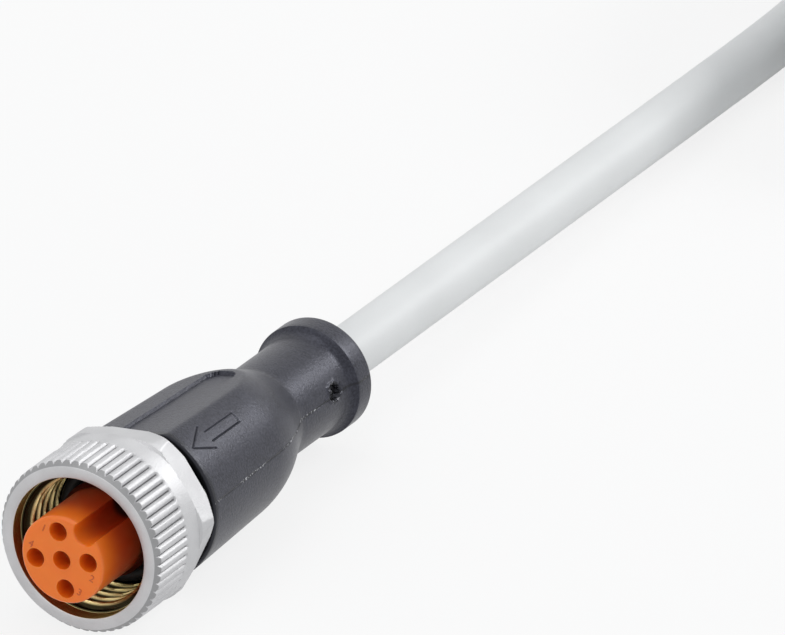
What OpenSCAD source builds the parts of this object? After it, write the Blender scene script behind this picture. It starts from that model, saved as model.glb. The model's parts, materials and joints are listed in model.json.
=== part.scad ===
// Five-pole M12 cable socket: a coupling nut turns on a moulded grip, and the
// contacts stand in a keyed carrier inside it. The plug lies on a flat surface
// and its cable runs straight out behind it to a tied hank.
// Local frame of the connector: z runs along its axis from the nut's front
// face towards the cable, x is up and y is to the side.

/* [Coupling nut] */
// Length of the nut along its axis
nut_length = 9.6; // [9.4:0.1:10]
// Diameter over the knurl's crests
knurl_d = 15.1; // [15:0.1:15.3]
// Depth of the knurl
knurl_depth = 0.36; // [0.25:0.01:0.4]
// Number of teeth in the knurl
knurl_teeth = 56; // [48:1:60]
// Length of the knurl along the nut
knurl_length = 5; // [4.8:0.1:5.2]
// Width across the hexagon's flats, at their front
hex_af = 13.8; // [13.7:0.1:14]
// Diameter over the hexagon's turned corners
hex_corner_d = 15.4; // [15.3:0.05:15.6]
// Major diameter of the M12 x 1 thread
thread_d = 12; // [11.9:0.1:12.1]

/* [Contact carrier] */
// Diameter of the carrier's nose
carrier_d = 8.3; // [8.1:0.1:8.4]
// How far the nose stands out of the nut
nose_reach = 2.6; // [1.5:0.1:3]
// Diameter of the circle of the four outer contacts
contact_pcd = 5; // [4.8:0.1:5]
// Diameter of the holes in the front face
socket_hole_d = 1.62; // [1.6:0.01:1.7]
// Width of the coding keyway
key_w = 2.1; // [1.8:0.1:2.2]
// Depth of the coding keyway
key_depth = 1.3; // [1:0.1:1.4]

/* [Grip] */
// Diameter of the grip at its front
grip_front_d = 13.96; // [13.8:0.02:14.1]
// Diameter of the grip where its shoulder starts
grip_rear_d = 12.96; // [12.8:0.02:13.1]
// Diameter of the neck
neck_d = 8.66; // [8.4:0.02:9]
// Diameter of the collar at the cable
collar_d = 10; // [9.8:0.1:10.4]
// Distance from the nut's front face to the end of the grip
grip_end = 39.5; // [39:0.5:41]
// Depth of the label recess in the upper flat
recess_depth = 0.16; // [0.1:0.02:0.24]

/* [Cable] */
// Diameter of the cable
cable_d = 4.66; // [4.5:0.02:4.7]
// Width of the hank, from middle to middle of its two bundles
hank_w = 37.3; // [37.2:0.1:37.6]
// Length of the hank's straight runs
run_length = 34.5; // [34.5:0.5:35.5]

/* [Rest] */
// Angle by which the nose is raised when the cable lies flat
rest_tilt = 2.7; // [2.5:0.1:2.9]

/* [Hidden] */
wire_names = ["brown", "white", "blue", "black", "grey"];
$fn = 96;

// Angles about the axis, from straight up towards the side
key_angle = 36;
flat_angle = -12.5;
hex_angle = -7;
knurl_angle = 43.5;
gate_angle = 73.5;

// Stations along the axis
lip_start = nut_length - 1.2;
hex_start = 7;
hex_draft = 4;
key_end = 5.4;
flange_start = 6.9;
flange_end = 8.1;
carrier_rear = 12.2;
contact_front = 2 - nose_reach;
contact_rear = 15.2;
bend_start = 15.7;
grip_start = 10.2;
shoulder_start = 21.5;
bundle_start = 21.6;
hollow_start = 13.8;
sheath_start = 22.5;
mould_end = 23.5;
fillet_start = 36.3;
rim = 37.4;

lead_in_r = 6.14;
face_r = 7.17;
hub_r = 4.85;
hub_gap = 0.08;
flange_r = 5.35;
spigot_r = 3.9;
seal_section_r = 0.58;
contact_r = 0.75;
pin_r = 0.52;
wire_r = 0.55;
core_r = 0.36;
bundle_r = 1.12;
throat_r = 2;
hollow_r = 3.4;
cable_r = cable_d / 2;
skin = 0.02;

// The grip's shoulder: an arc that steepens the taper until it meets the neck
taper = atan((grip_front_d - grip_rear_d) / 2 / (shoulder_start - grip_start));
shoulder_r = 15;
shoulder_slope = 23;
flat_cos = cos(30);

// Height of the axis at the nut's face, and the middle of the plug's length
nose_height = knurl_d / 2 * cos(rest_tilt) + knurl_length * sin(rest_tilt);
front_reach = nose_reach * cos(rest_tilt) + carrier_d / 2 * sin(rest_tilt);
rear_reach = grip_end * cos(rest_tilt) + collar_d / 2 * sin(rest_tilt);
middle = (rear_reach - front_reach) / 2;
exit = [0, grip_end * cos(rest_tilt) - middle, nose_height - grip_end * sin(rest_tilt)];

// Hank: two columns of four turns, wound up outside and down inside. The ties
// round its two bundles lie under it and carry it.
turn_gap = 4.7;
hank_columns = 2;
hank_layers = 4;
fold_outer_r = (hank_w + turn_gap * (hank_columns - 1)) / 2;
fold_inner_r = (hank_w - turn_gap * (hank_columns - 1)) / 2;
hank_x = fold_outer_r;
hank_y = 115.7;
hank_height = turn_gap * (hank_layers - 1) + cable_d;
bundle_width = turn_gap * (hank_columns - 1) + cable_d;
tie_thickness = 0.75;
tie_gap = 0.05;
tie_width = 3.6;
tie_y = 121;
hank_base = tie_thickness + tie_gap;
tie_head = [5.6, 5, 3];
tie_stub = [1.6, 3.2, 1];
stub_height = 0.9;
sunk = 0.3;

// Route of the cable between the grip and the hank
lead_route = [exit, [0, 32, 5.4], [0, 44, 4.85], [0, 56, 4.28], [0, 68, 3.72], [0, 80, 3.15],
    [0, 88, 2.8], [0, 94, 2.54], [0, 100, 2.37], [0, 105, 2.35], [0, 110, 2.6]];

// Route of the cable's end, from the innermost turn's fold to the hank's middle
end_route = [[17.14, 163.82, 2.87], [22.6, 163.58, 2.78], [27.52, 161.21, 2.68],
    [31.08, 157.07, 2.58], [32.64, 151.84, 2.48], [32.6, 146.35, 2.4], [32.6, 140.85, 2.34],
    [32.55, 137.01, 2.33], [32.15, 134.17, 2.33], [31.36, 131.4, 2.33]];

// The stripped wires fan out from the cable's end: how far each one stands to
// the side and above in the bundle, its place on the surface and its turn
tail_start = [31.36, 131.4];
tail_heading = 250;
tail_length = 27;
tail_gap = 0.4;
tip_length = 5;
tail_side = [0.79, 0.79, 0, -0.79, -0.79];
tail_lift = [0.79, -0.79, 0, -0.79, 0.79];
tail_spread = [2.4, 1.2, 0, -1.2, -2.4];
tail_turn = [70, 85, 100, 115, 130];

// Points of an arc about c from angle a to angle b
function arc(c, r, a, b, n = 12) =
    [for (i = [0:n]) c + r * [cos(a + (b - a) * i / n), sin(a + (b - a) * i / n)]];
function smooth(u) = let (v = max(0, min(1, u))) v * v * (3 - 2 * v);
function unit(v) = v / norm(v);

// Places of the contacts and of the wires in the cable, looking along the axis
function contact_place(i) =
    i == 4 ? [0, 0] : contact_pcd / 2 * [cos(key_angle - 45 + 90 * i), sin(key_angle - 45 + 90 * i)];
function bundle_place(i) =
    i == 4 ? [0, 0] : bundle_r * [cos(key_angle - 45 + 90 * i), sin(key_angle - 45 + 90 * i)];
function at(p, z) = [p[0], p[1], z];

// Ring of points about one station of a route; up is a direction that the
// route never takes
function ring(p, along, r, sides, up) = let (across = unit(cross(along, up)), over = cross(across, along))
    [for (k = [0:sides - 1]) p + r * (cos(360 * k / sides) * across + sin(360 * k / sides) * over)];
function heading(route, i) = unit(route[min(i + 1, len(route) - 1)] - route[max(i - 1, 0)]);

// Puts the connector's local frame into the frame of the part
module seated() {
    lying = [[0, 1, 0, 0], [0, 0, 1, 0], [1, 0, 0, 0], [0, 0, 0, 1]];
    translate([0, -middle, nose_height])
        rotate([-rest_tilt, 0, 0])
            multmatrix(lying) children();
}

// Bar swept along a route, lying flat or, with another up, running upwards
module swept(route, r, sides, up = [0, 0, 1]) {
    n = len(route);
    points = [for (i = [0:n - 1]) each ring(route[i], heading(route, i), r, sides, up)];
    walls = [for (i = [0:n - 2]) for (k = [0:sides - 1]) let (m = (k + 1) % sides)
        [i * sides + k, i * sides + m, (i + 1) * sides + m, (i + 1) * sides + k]];
    first = [for (k = [sides - 1:-1:0]) k];
    last = [for (k = [0:sides - 1]) (n - 1) * sides + k];
    polyhedron(points, concat([first], walls, [last]), convexity = 4);
}

// Cross-section of the knurl: V-grooves with narrow flat roots, open outwards
module knurl_section() {
    pitch = 360 / knurl_teeth;
    root = knurl_d / 2 - knurl_depth;
    over = 1.6;
    shape = [[root, -0.07], [root, 0.07], [root + over * knurl_depth, 0.07 + over * 0.29],
        [root + over * knurl_depth, 0.93 - over * 0.29]];
    polygon([for (i = [0:knurl_teeth - 1]) for (s = shape)
        s[0] * [cos(knurl_angle + pitch * (i + s[1])), sin(knurl_angle + pitch * (i + s[1]))]]);
}

// Turned front of the nut, with its bevelled face
module knurl_turning() {
    crest = knurl_d / 2;
    rotate_extrude()
        polygon([[0, 0], [face_r - 0.1, 0], [face_r, 0.1], [crest, 0.85], [crest, knurl_length],
            [0, knurl_length]]);
}

// Turned rear of the nut: core of the knurl, its run-out, smooth neck,
// hexagon's corners and rear bevel
module hex_turning() {
    corner = hex_corner_d / 2;
    neck = knurl_d / 2 - 0.05;
    core = lead_in_r + 0.6;
    rotate_extrude()
        polygon([[0, 0.4], [core, 0.4], [core, knurl_length - 0.6], [neck, knurl_length + 0.15],
            [neck, hex_start - 0.25],
            [corner, hex_start - 0.07], [corner, nut_length - 0.8], [corner - 0.75, nut_length],
            [0, nut_length]]);
}

// Flat of the hexagon with the slope that leads up to it
module hex_cut() {
    rotate([90, 0, 0])
        linear_extrude(12, center = true)
            polygon([[hex_af / 2 - (nut_length + 1 - hex_start) * tan(hex_draft), nut_length + 1],
                [hex_af / 2, hex_start], [hex_af / 2 + 1, hex_start - 0.6],
                [hex_af / 2 + 2, hex_start - 0.6], [hex_af / 2 + 2, nut_length + 1]]);
}

module coupling_nut() {
    color("silver") seated() difference() {
        union() {
            hex_turning();
            intersection() {
                knurl_turning();
                translate([0, 0, -1]) linear_extrude(knurl_length + 2) knurl_section();
            }
        }
        for (i = [0:5]) rotate(hex_angle + 60 * i) hex_cut();
        rotate_extrude()
            polygon([[0, -1], [lead_in_r + 0.1, -1], [lead_in_r + 0.1, 0], [lead_in_r, 0.1], [lead_in_r, 1.2],
                [thread_d / 2, 1.35], [thread_d / 2, lip_start], [hub_r + hub_gap, lip_start],
                [hub_r + hub_gap, nut_length + 1], [0, nut_length + 1]]);
    }
}

module contact_carrier() {
    nose_r = carrier_d / 2;
    edge = 0.3;
    color("darkorange") seated() difference() {
        rotate_extrude()
            polygon(concat([[0, -nose_reach]], arc([nose_r - edge, edge - nose_reach], edge, -90, 0),
                [[nose_r, flange_start], [spigot_r, flange_start], [spigot_r, carrier_rear],
                    [0, carrier_rear]]));
        for (i = [0:4]) translate(at(contact_place(i), 0)) {
            translate([0, 0, -nose_reach - 1])
                cylinder(h = contact_front + nose_reach + 1, r = socket_hole_d / 2, $fn = 48);
            cylinder(h = 40, r = contact_r + skin / 2, center = true, $fn = 48);
        }
        rotate(key_angle) translate([0, 0, -nose_reach - 1]) linear_extrude(nose_reach + 1 + key_end)
            polygon(concat(arc([nose_r - key_depth + key_w / 2, 0], key_w / 2, 90, 270),
                [[nose_r + 1, -key_w / 2], [nose_r + 1, key_w / 2]]));
    }
}

// O-ring on the nose, against the flange
module sealing_ring() {
    color("dimgray") seated()
        rotate_extrude()
            translate([carrier_d / 2 + seal_section_r + skin, flange_start - seal_section_r - skin])
                circle(r = seal_section_r, $fn = 40);
}

// Outline of the hard moulding in front of and under the grip, wider by g, up to its rear face
function mould_outline(g) = [[0, flange_start], [flange_r + g, flange_start], [flange_r + g, flange_end],
    [hub_r + g, flange_end], [hub_r + g, 12 - g], [5.4 + g, 12 - g], [5.4 + g, 13.4 + g], [4.6 + g, 13.4 + g],
    [4.6 + g, 15 - g], [5.3 + g, 15 - g], [5.3 + g, 16.4 + g], [4.4 + g, 16.4 + g], [4.4 + g, 20 + g],
    [3.4 + g, 20.8 + g], [3.4 + g, mould_end + g]];

module inner_mould() {
    color("darkslategray") seated() difference() {
        rotate_extrude()
            polygon(concat(mould_outline(0), [[cable_r + skin, mould_end], [cable_r + skin, sheath_start],
                [throat_r, sheath_start], [throat_r, bundle_start], [hollow_r, hollow_start],
                [0, hollow_start]]));
        translate([0, 0, flange_start - 1])
            cylinder(h = carrier_rear - flange_start + 1, r = spigot_r + skin);
        for (i = [0:4]) translate(at(contact_place(i), carrier_rear - 1))
            cylinder(h = 3, r = contact_r + skin, $fn = 48);
    }
}

// Outline of the grip, from its front face to its end
function grip_outline() = let (front = grip_front_d / 2, rear = grip_rear_d / 2,
        neck = neck_d / 2, collar = collar_d / 2,
        bend = [rear - shoulder_r * cos(taper), shoulder_start - shoulder_r * sin(taper)],
        foot = bend + shoulder_r * [cos(shoulder_slope), sin(shoulder_slope)],
        cone_end = foot[1] + (foot[0] - neck) / tan(shoulder_slope), hollow = 1.2,
        lift = acos(1 - (collar - 0.02 - neck) / hollow))
    concat([[0, grip_start]], arc([front - 0.25, grip_start + 0.25], 0.25, -90, 0, 4),
        arc(bend, shoulder_r, taper, shoulder_slope, 16),
        [[neck + 0.06, cone_end - 0.14], [neck, cone_end + 0.12]],
        arc([neck + hollow, fillet_start], hollow, 180, 180 - lift, 10),
        [[collar, rim + 0.12]], arc([collar - 0.3, grip_end - 0.3], 0.3, 0, 90, 4), [[0, grip_end]]);

// Local frame on the flat: x is its outward normal, z runs along it
module on_flat(side) {
    fall = atan((grip_front_d - grip_rear_d) / 2 * flat_cos / (shoulder_start - grip_start));
    rotate(flat_angle + side)
        translate([grip_front_d / 2 * flat_cos, 0, grip_start])
            rotate([0, -fall, 0]) children();
}

// Long panel with a round end, sunk in the upper flat
module label_recess() {
    half = 1.4;
    reach = 14.2;
    translate([-recess_depth, 0, 0])
        rotate([90, 0, 90])
            linear_extrude(2) {
                translate([-half, -2]) square([2 * half, reach + 2]);
                translate([0, reach]) circle(r = half);
            }
}

module grip_body() {
    color([0.28, 0.28, 0.32]) seated() difference() {
        rotate_extrude() polygon(grip_outline());
        for (side = [0, 180]) on_flat(side) translate([0, -8, -2]) cube([4, 16, 22]);
        on_flat(0) label_recess();
        translate([0, 0, 34.6]) rotate(gate_angle) translate([neck_d / 2 - 0.3, 0, 0])
            rotate([0, 90, 0]) cylinder(h = 2, r = 0.8, $fn = 32);
        rotate_extrude() polygon(concat(mould_outline(skin), [[0, mould_end + skin]]));
        translate([0, 0, 20]) cylinder(h = 30, r = cable_r + skin);
    }
}

// Socket for a 1 mm pin in front, crimp barrel behind
module contact(i) {
    color("gold") seated() translate(at(contact_place(i), 0)) difference() {
        translate([0, 0, contact_front]) cylinder(h = contact_rear - contact_front, r = contact_r, $fn = 48);
        translate([0, 0, contact_front - 1]) cylinder(h = 7, r = pin_r, $fn = 48);
        translate([-1, -0.08, contact_front - 1]) cube([2, 0.16, 5]);
        translate([0, 0, contact_rear - 3]) cylinder(h = 4, r = core_r + skin, $fn = 32);
    }
}

// Route of one wire between two stations, from behind its contact into the cable
function wire_route(i, from, to) = [at(contact_place(i), from), at(contact_place(i), bend_start),
    at(bundle_place(i), bundle_start), at(bundle_place(i), to)];

module wire(i) {
    color(wire_names[i]) seated() difference() {
        swept(wire_route(i, contact_rear + 0.05, grip_end), wire_r, 12, [1, 0, 0]);
        swept(wire_route(i, contact_rear - 1, grip_end + 1), core_r + skin, 12, [1, 0, 0]);
    }
}

module core(i) {
    color("peru") seated() swept(wire_route(i, contact_rear - 2.8, grip_end), core_r, 12, [1, 0, 0]);
}

module cable_sheath_end() {
    color("gainsboro") seated() difference() {
        translate([0, 0, sheath_start]) cylinder(h = grip_end - sheath_start, r = cable_r);
        translate([0, 0, sheath_start - 1]) cylinder(h = 30, r = bundle_r + wire_r + 0.04);
    }
}

module cable_lead() {
    color("gainsboro") swept(lead_route, cable_r, 12);
}

// Outline of the hank at a fold radius
function hank_outline(r) = concat(arc([hank_x, hank_y], r, -180, 0, 36),
    arc([hank_x, hank_y + run_length], r, 0, 180, 36));

module cable_hank() {
    color("gainsboro") translate([0, 0, hank_base])
        linear_extrude(hank_height)
            difference() {
                polygon(hank_outline(fold_outer_r + cable_r));
                polygon(hank_outline(fold_inner_r - cable_r));
            }
}

// Tie round one bundle, with its head and the cut end of its strap on top
module cable_tie(x) {
    opening = [bundle_width + 2 * tie_gap, hank_height + 2 * tie_gap];
    outside = opening + 2 * tie_thickness * [1, 1];
    color("dimgray") translate([x, tie_y, 0]) {
        difference() {
            translate([-outside[0] / 2, -tie_width / 2, 0])
                cube([outside[0], tie_width, outside[1]]);
            translate([-opening[0] / 2, -tie_width, tie_thickness])
                cube([opening[0], 2 * tie_width, opening[1]]);
        }
        translate([-tie_head[0] / 2, -tie_head[1] / 2, outside[1] - sunk]) cube(tie_head);
        translate([tie_head[0] / 2 - sunk, -tie_stub[1] / 2, outside[1] + stub_height]) cube(tie_stub);
    }
}

module cable_end() {
    color("gainsboro") swept(end_route, cable_r, 12);
}

// Point of a stripped wire at distance s from the cable's end: it drops out of
// the bundle, then lies on the surface and follows its own arc
function tail_point(i, s) = let (radius = tail_length / (tail_turn[i] * PI / 180),
        a = tail_heading - s / radius * 180 / PI,
        across = [-sin(tail_heading), cos(tail_heading)],
        side = tail_side[i] + (tail_spread[i] - tail_side[i]) * smooth(s / 5),
        height = wire_r + (cable_r + tail_lift[i] - wire_r) * (1 - smooth((s - 2) / 7)),
        place = tail_start - radius * across + (radius + side) * [-sin(a), cos(a)])
    [place[0], place[1], height];

module tail(i) {
    color(wire_names[i])
        swept([for (s = [tail_gap:2.16:tail_length - tip_length]) tail_point(i, s)], wire_r, 8);
}

module tinned_tips() {
    first = tail_length - tip_length;
    color("silver") for (i = [0:4]) swept([for (s = [first:2.5:tail_length]) tail_point(i, s)], core_r, 8);
}

coupling_nut();
contact_carrier();
sealing_ring();
inner_mould();
grip_body();
for (i = [0:4]) contact(i);
for (i = [0:4]) wire(i);
for (i = [0:4]) core(i);
cable_sheath_end();
cable_lead();
cable_hank();
cable_end();
cable_tie(hank_x - hank_w / 2);  // cable_tie_left
cable_tie(hank_x + hank_w / 2);  // cable_tie_right
for (i = [0:4]) tail(i);
tinned_tips();
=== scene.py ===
"""Five-pole M12 cable socket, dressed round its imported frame.

The connector has a local frame of its own: up, side and along, in millimetres
from the front face of the coupling nut on the axis. seat() takes points from
it into the frame of the part, in metres. Angles about the axis start at up
and turn towards side.
"""

import json

import bpy
import numpy as np
from mathutils import Matrix, Vector
from mathutils.geometry import delaunay_2d_cdt


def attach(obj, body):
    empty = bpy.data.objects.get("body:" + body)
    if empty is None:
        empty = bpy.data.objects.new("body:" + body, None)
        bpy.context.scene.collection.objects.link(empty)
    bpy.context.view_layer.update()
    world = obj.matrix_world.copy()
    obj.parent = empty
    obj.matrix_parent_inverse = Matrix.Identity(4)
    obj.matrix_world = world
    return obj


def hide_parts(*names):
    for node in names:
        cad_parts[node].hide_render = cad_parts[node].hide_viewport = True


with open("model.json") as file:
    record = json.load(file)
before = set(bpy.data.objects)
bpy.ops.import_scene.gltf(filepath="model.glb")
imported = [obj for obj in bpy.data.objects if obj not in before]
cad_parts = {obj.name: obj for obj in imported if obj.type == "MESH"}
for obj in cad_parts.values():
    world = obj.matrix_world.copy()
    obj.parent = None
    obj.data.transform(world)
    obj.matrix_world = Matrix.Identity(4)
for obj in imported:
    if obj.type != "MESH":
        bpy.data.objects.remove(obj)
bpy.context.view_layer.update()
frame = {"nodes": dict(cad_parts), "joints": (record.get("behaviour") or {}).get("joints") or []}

# ---------------------------------------------------------------- camera
# A long lens far off looks down on the plug from the side of its socket face,
# so that the cable runs out of the view at the upper right.

mm = 0.001
azimuth, elevation = np.radians(29.69), np.radians(27.53)
aim = np.array([17.89, 1.73, 24.42]) * mm
distance = 1.5
lens = 847

back = np.array([
    np.sin(azimuth) * np.cos(elevation),
    -np.cos(azimuth) * np.cos(elevation),
    np.sin(elevation),
])
right = np.array([np.cos(azimuth), np.sin(azimuth), 0])
camera_data = bpy.data.cameras.new("camera")
camera_data.lens = lens
camera_data.clip_start = 0.05
camera_data.clip_end = 20
camera = bpy.data.objects.new("camera", camera_data)
bpy.context.scene.collection.objects.link(camera)
turn = Matrix(np.column_stack([right, np.cross(back, right), back]).tolist()).to_4x4()
camera.matrix_world = Matrix.Translation(Vector(aim + distance * back)) @ turn
bpy.context.scene.camera = camera
bpy.context.scene.view_settings.view_transform = "Standard"

# ---------------------------------------------------------------- cable
# Round jacket of light grey polyurethane, matte and even. It runs straight out
# of the grip, comes down to the surface and is folded into a hank of two
# columns of turns, with its bare end in the hank's middle.

nut_joint = frame["joints"][0]
along = np.array(nut_joint["axis"], float)
along /= np.linalg.norm(along)
nose = np.array(nut_joint["pos_m"], float)
up = np.array([0, 0, 1]) - along * along[2]
up /= np.linalg.norm(up)
side = np.cross(along, up)

grip_end = 39.5
cable_r = 2.33
turn_gap, layers = 4.7, 4
fold_outer_r = 21.0
hank_y, run_length, hank_base = 115.7, 34.5, 0.8
ring_gap, jacket_sides = 1.2, 28
lead_points = [
    [0, 32, 5.4], [0, 44, 4.85], [0, 56, 4.28], [0, 68, 3.72], [0, 80, 3.15],
    [0, 88, 2.8], [0, 94, 2.54], [0, 100, 2.37], [0, 105, 2.38], [0, 110, 2.78],
]


def seat(points):
    """Places points: nose + up * x + side * y + along * z, in metres."""
    points = np.asarray(points, float) * mm
    return nose + points[..., :1] * up + points[..., 1:2] * side + points[..., 2:3] * along


def smooth(x):
    """Rises from 0 to 1 as x goes from 0 to 1, level at both ends."""
    x = np.clip(x, 0, 1)
    return x * x * (3 - 2 * x)


def hank_points(spacing):
    """A turn is a run out, a fold, a run back and a fold, at fold radius r and level
    z; c counts its quarters. The outer turns climb a gap each at the near fold, the
    fourth steps in on its way back, and the inner ones come down at the far fold."""
    last = 2 * layers - 1
    c = np.linspace(0, 4 * last + 2.35, 9000)
    turn = np.floor(c / 4)
    c = c - 4 * turn
    step = smooth((c - 2.3) / 1.0)
    climb = smooth((c - 2.8) / 1.2)
    fall = smooth((c - 1.4) / 1.0)
    inward = np.where(turn == last, smooth((c - 0.8) / 1.3), 0)
    level = np.select(
        [turn < layers - 1, turn < layers, turn < last], [turn + climb, layers - 1, last - turn - fall], 0,
    )
    column = np.select([turn < layers - 1, turn < layers], [0, step], 1) + inward
    r = fold_outer_r - turn_gap * column
    quarter = np.floor(c)
    f = c - quarter
    run = [quarter == 0, quarter == 1, quarter == 2]
    bow = np.pi * f
    x = np.select(run, [-r, -r * np.cos(bow), r], r * np.cos(bow))
    out_and_back = [run_length * f, run_length + r * np.sin(bow), run_length * (1 - f)]
    y = np.select(run, out_and_back, -r * np.sin(bow))
    sink = np.where(turn == last, smooth((c - 0.8) / 1.6), 0)
    z = cable_r + turn_gap * level + hank_base * (1 - sink)
    line = np.column_stack([fold_outer_r + x, hank_y + y, z])
    way = np.concatenate([[0], np.cumsum(np.linalg.norm(np.diff(line, axis=0), axis=1))])
    at = np.arange(0, way[-1], spacing)
    return np.column_stack([np.interp(at, way, line[:, k]) for k in range(3)])


def smooth_line(points, spacing):
    """Catmull-Rom curve through points, sampled every spacing along its length."""
    p = np.vstack([2 * points[0] - points[1], points, 2 * points[-1] - points[-2]])
    u = np.linspace(0, 1, 24, endpoint=False)[:, None, None]
    a, b, c, d = p[:-3], p[1:-2], p[2:-1], p[3:]
    curve = 2 * b + (c - a) * u + (2 * a - 5 * b + 4 * c - d) * u**2 + (3 * b - a - 3 * c + d) * u**3
    curve = 0.5 * curve
    curve = np.vstack([curve.transpose(1, 0, 2).reshape(-1, 3), points[-1:]])
    way = np.concatenate([[0], np.cumsum(np.linalg.norm(np.diff(curve, axis=0), axis=1))])
    at = np.linspace(0, way[-1], int(way[-1] / spacing) + 1)
    return np.column_stack([np.interp(at, way, curve[:, k]) for k in range(3)])


def tube(path, r, columns):
    """Rings path + r (cos a across + sin a over), where across lies level and over
    stands on it and on the path's heading; r is one number or one for each ring."""
    heading = np.gradient(path, axis=0)
    heading /= np.linalg.norm(heading, axis=1)[:, None]
    across = np.cross(heading, [0, 0, 1])
    across /= np.linalg.norm(across, axis=1)[:, None]
    over = np.cross(across, heading)
    angle = np.linspace(0, 2 * np.pi, columns, endpoint=False)[None, :, None]
    ring = np.cos(angle) * across[:, None] + np.sin(angle) * over[:, None]
    return path[:, None] + np.broadcast_to(r, len(path))[:, None, None] * ring


def wrap_faces(rows, columns, close_rows=False):
    """Quads of a grid whose columns close on themselves, with rows going forward."""
    i = np.arange(rows if close_rows else rows - 1)[:, None]
    j = np.arange(columns)[None, :]
    i2, j2 = (i + 1) % rows, (j + 1) % columns
    quads = np.stack([i * columns + j, i * columns + j2, i2 * columns + j2, i2 * columns + j], -1)
    return quads.reshape(-1, 4)


def tube_faces(rings, sides):
    """Faces of a tube with flat ends: its wall, its first end and its last end."""
    end = np.arange(sides)
    return [wrap_faces(rings, sides)[:, ::-1], end[None], (end[::-1] + sides * (rings - 1))[None]]


def make_piece(name, points, faces, finish, body, sharp=None):
    """One mesh from points and a list of face arrays, smooth but for its sharp edges."""
    mesh = bpy.data.meshes.new(name)
    corners = [face for part in faces for face in part.tolist()]
    mesh.from_pydata(np.asarray(points).reshape(-1, 3).tolist(), [], corners)
    mesh.shade_smooth()
    if sharp:
        mesh.set_sharp_from_angle(angle=np.radians(sharp))
    mesh.materials.append(finish)
    piece = bpy.data.objects.new(name, mesh)
    bpy.context.scene.collection.objects.link(piece)
    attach(piece, body)
    return piece


def new_group(name, inputs, outputs):
    """Empty node group with number inputs (name, default) and the given outputs."""
    group = bpy.data.node_groups.new(name, "ShaderNodeTree")
    group.interface.new_socket("Vector", in_out="INPUT", socket_type="NodeSocketVector")
    for label, value in inputs:
        socket = group.interface.new_socket(label, in_out="INPUT", socket_type="NodeSocketFloat")
        socket.default_value = value
    for label, kind in outputs:
        group.interface.new_socket(label, in_out="OUTPUT", socket_type=kind)
    return group, group.nodes.new("NodeGroupInput"), group.nodes.new("NodeGroupOutput")


def add_node(tree, kind, links=(), **settings):
    """Adds a node, sets its properties and sockets, and links (socket, source) pairs."""
    node = tree.nodes.new(kind)
    for key, value in settings.items():
        if hasattr(node, key):
            setattr(node, key, value)
        else:
            node.inputs[key.replace("_", " ")].default_value = value
    for socket, source in links:
        tree.links.new(source, node.inputs[socket])
    return node


def mixed(tree, share, first, second):
    """Colour between two, each a socket or three numbers, by a share from 0 to 1."""
    links = [(0, share)]
    mix = add_node(tree, "ShaderNodeMix", data_type="RGBA")
    for socket, colour in ((6, first), (7, second)):
        if isinstance(colour, tuple):
            mix.inputs[socket].default_value = (*colour, 1)
        else:
            links.append((socket, colour))
    for socket, source in links:
        tree.links.new(source, mix.inputs[socket])
    return mix.outputs[2]


def grain_group():
    """Height of a fine eroded grain, and a broad uneven mask from 0 to 1: two noises
    whose scale is 1 over the size."""
    group, source, result = new_group(
        "surface_grain",
        [("Grain size mm", 0.1), ("Patch size mm", 4)],
        [("Height", "NodeSocketFloat"), ("Patches", "NodeSocketFloat")],
    )
    noises = (("Grain size mm", 3.0, 0.6, "Height"), ("Patch size mm", 2.0, 0.5, "Patches"))
    for size, detail, roughness, mask in noises:
        scale = add_node(group, "ShaderNodeMath", [(1, source.outputs[size])], operation="DIVIDE")
        scale.inputs[0].default_value = 1 / mm
        noise = add_node(
            group, "ShaderNodeTexNoise",
            [("Vector", source.outputs["Vector"]), ("Scale", scale.outputs[0])],
            Detail=detail, Roughness=roughness,
        )
        group.links.new(noise.outputs["Fac"], result.inputs[mask])
    return group


surface_grain = grain_group()


def make_finish(
    name, colour, deep_colour, roughness, grain, bump, metallic=0.0, patch=4.0, speckle=0.2, **sockets,
):
    """Principled finish: two colours mixed by patches and, as far as speckle says, by
    the grain; roughness that wanders by 10 per cent; and a bump of grain (its size in
    mm) with its depth in mm."""
    finish = bpy.data.materials.new(name)
    finish.use_nodes = True
    tree = finish.node_tree
    shader = tree.nodes["Principled BSDF"]
    shader.inputs["Metallic"].default_value = metallic
    for key, value in sockets.items():
        shader.inputs[key.replace("_", " ")].default_value = value
    place = tree.nodes.new("ShaderNodeTexCoord")
    texture = add_node(tree, "ShaderNodeGroup", node_tree=surface_grain)
    tree.links.new(place.outputs["Object"], texture.inputs["Vector"])
    texture.inputs["Grain size mm"].default_value = grain
    texture.inputs["Patch size mm"].default_value = patch
    mottle = add_node(
        tree, "ShaderNodeMix", [(2, texture.outputs["Patches"]), (3, texture.outputs["Height"])],
        data_type="FLOAT", Factor=speckle,
    )
    mottle = add_node(
        tree, "ShaderNodeMapRange", [("Value", mottle.outputs[0])], From_Min=0.35, From_Max=0.65,
    )
    tint = mixed(tree, mottle.outputs["Result"], deep_colour, colour)
    tree.links.new(tint, shader.inputs["Base Color"])
    sheen = add_node(tree, "ShaderNodeMapRange", [("Value", texture.outputs["Patches"])])
    sheen.inputs["To Min"].default_value = roughness * 0.9
    sheen.inputs["To Max"].default_value = roughness * 1.1
    tree.links.new(sheen.outputs["Result"], shader.inputs["Roughness"])
    relief = add_node(tree, "ShaderNodeBump", [("Height", texture.outputs["Height"])])
    relief.inputs["Strength"].default_value = 1
    relief.inputs["Distance"].default_value = bump * mm
    tree.links.new(relief.outputs["Normal"], shader.inputs["Normal"])
    return finish


jacket_finish = make_finish(
    "cable_jacket", (0.76, 0.77, 0.77), (0.72, 0.73, 0.73), 0.5, 0.12, 0.004, patch=9,
)

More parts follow.
